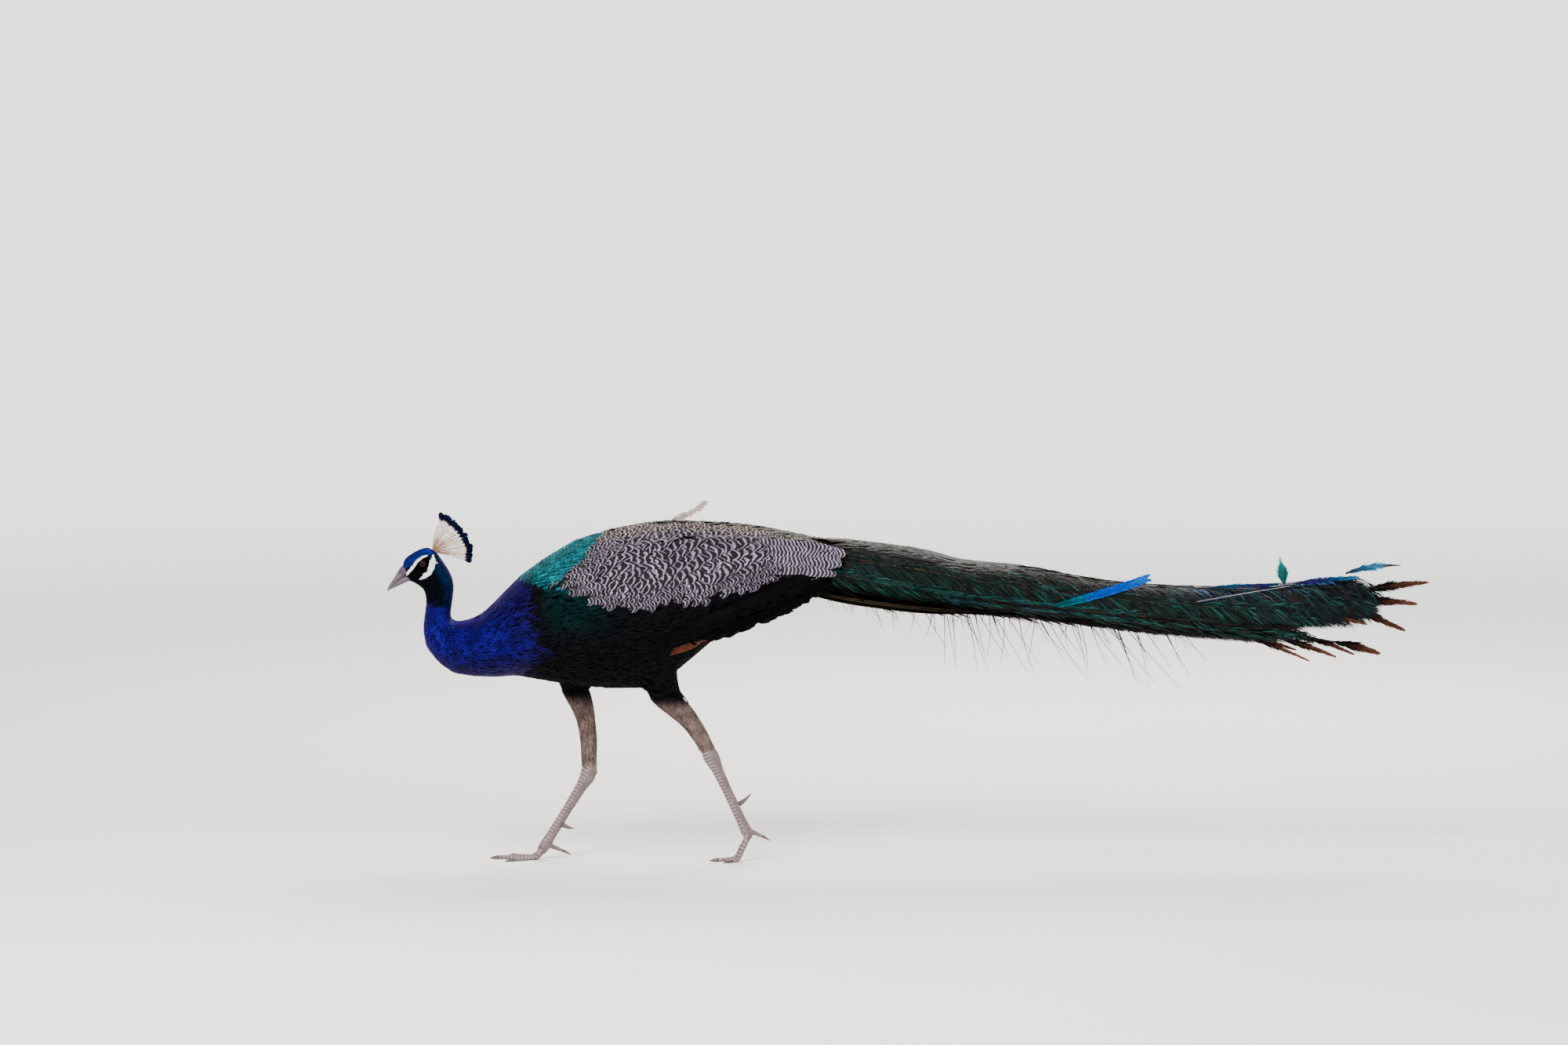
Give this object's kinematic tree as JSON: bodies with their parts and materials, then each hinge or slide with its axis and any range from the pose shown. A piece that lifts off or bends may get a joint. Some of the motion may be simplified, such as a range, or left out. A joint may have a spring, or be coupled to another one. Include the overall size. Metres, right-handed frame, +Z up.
{
  "type": "peacock",
  "caption": "Life-size still model of a male Indian peafowl in mid-stride, head raised on an upright bent neck, fan crest open, long folded train held level behind.",
  "frame": {"origin": "on the floor, under the middle of the bounding box", "axes": "+X from the bill towards the tip of the train, so the bird walks towards -X; +Y towards the bird's right side; +Z up"},
  "size_m": [1.5916, 0.2464, 0.5542],
  "materials": {
    "barred_plumage": "buff and black barred feathers",
    "black_plumage": "green-black and black feathers over flesh",
    "blue_plumage": "iridescent royal blue feathers over flesh",
    "blue_vane": "iridescent blue feather vanes",
    "brown_quills": "brown tail feathers",
    "crest_shafts": "bare buff feather shafts",
    "eye_brown": "wet and glossy",
    "green_train": "iridescent bronze green train feathers",
    "horn": "horn, satin",
    "leg_down": "short buff-brown feathers over flesh",
    "leg_scales": "scaly skin, matte"
  },
  "bodies": {
    "root": {"back_feather": "barred_plumage", "bill_lower": "horn", "bill_upper": "horn", "breast": "blue_plumage", "claw_hind_left": "horn", "claw_hind_right": "horn", "claw_inner_left": "horn", "claw_inner_right": "horn", "claw_middle_left": "horn", "claw_middle_right": "horn", "claw_outer_left": "horn", "claw_outer_right": "horn", "crest_fan": "crest_shafts", "crest_tips": "blue_vane", "eye_left": "eye_brown", "eye_right": "eye_brown", "foot_left": "leg_scales", "foot_right": "leg_scales", "head": "blue_plumage", "neck_lower": "blue_plumage", "neck_upper": "blue_plumage", "plume_blue": "blue_vane", "plume_fork_high": "green_train", "plume_fork_low": "green_train", "plume_middle": "green_train", "plume_top": "green_train", "plume_under": "green_train", "shank_left": "leg_down", "shank_right": "leg_down", "spur_left": "horn", "spur_right": "horn", "tail": "brown_quills", "tarsus_left": "leg_scales", "tarsus_right": "leg_scales", "toe_hind_left": "leg_scales", "toe_hind_right": "leg_scales", "train_end": "green_train", "train_middle": "green_train", "train_rear": "green_train", "train_root": "green_train", "trunk": "black_plumage", "wing_left": "barred_plumage", "wing_right": "barred_plumage"}
  },
  "joints": []
}
